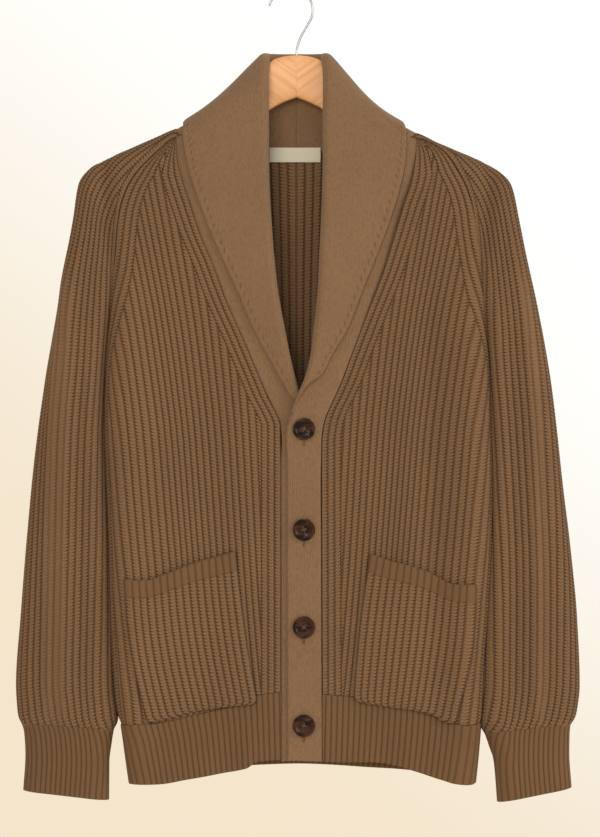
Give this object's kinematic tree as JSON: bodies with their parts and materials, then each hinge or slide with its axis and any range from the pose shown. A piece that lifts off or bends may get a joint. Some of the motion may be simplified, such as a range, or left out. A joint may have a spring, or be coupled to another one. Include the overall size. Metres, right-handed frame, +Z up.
{
  "type": "shawl collar cardigan on a hanger",
  "caption": "Chunky ribbed knit cardigan with a turned-over shawl collar, buttoned front band and patch pockets, hanging on a wooden hanger.",
  "frame": {"origin": "the seat of the hanger's hook, at the inner top of its loop, where a rail carries it", "axes": "+Z up, the cardigan's front faces -Y, and the wearer's left side is at +X"},
  "size_m": [0.5932, 0.0639, 0.8566],
  "materials": {
    "rib_knit": "chunky half-cardigan rib in taupe wool",
    "band_knit": "fine rib in taupe wool",
    "horn": "polished dark horn with tan streaks",
    "label": "cream woven tape, bare",
    "beech": "satin lacquered beech",
    "wire": "bright steel wire"
  },
  "bodies": {
    "root": {"front_left": "rib_knit", "front_right": "rib_knit", "back": "rib_knit", "sleeve_left": "rib_knit", "sleeve_right": "rib_knit", "cuff_left": "rib_knit", "cuff_right": "rib_knit", "hem_front_left": "rib_knit", "hem_front_right": "rib_knit", "hem_back": "rib_knit", "pocket_left": "rib_knit", "pocket_right": "rib_knit", "pocket_welt_left": "rib_knit", "pocket_welt_right": "rib_knit", "collar_left": "band_knit", "collar_right": "band_knit", "placket_over": "band_knit", "placket_under": "band_knit", "button_1": "horn", "button_2": "horn", "button_3": "horn", "button_4": "horn", "neck_label": "label", "hanger_arm_left": "beech", "hanger_arm_right": "beech", "hanger_hook": "wire"}
  },
  "joints": []
}
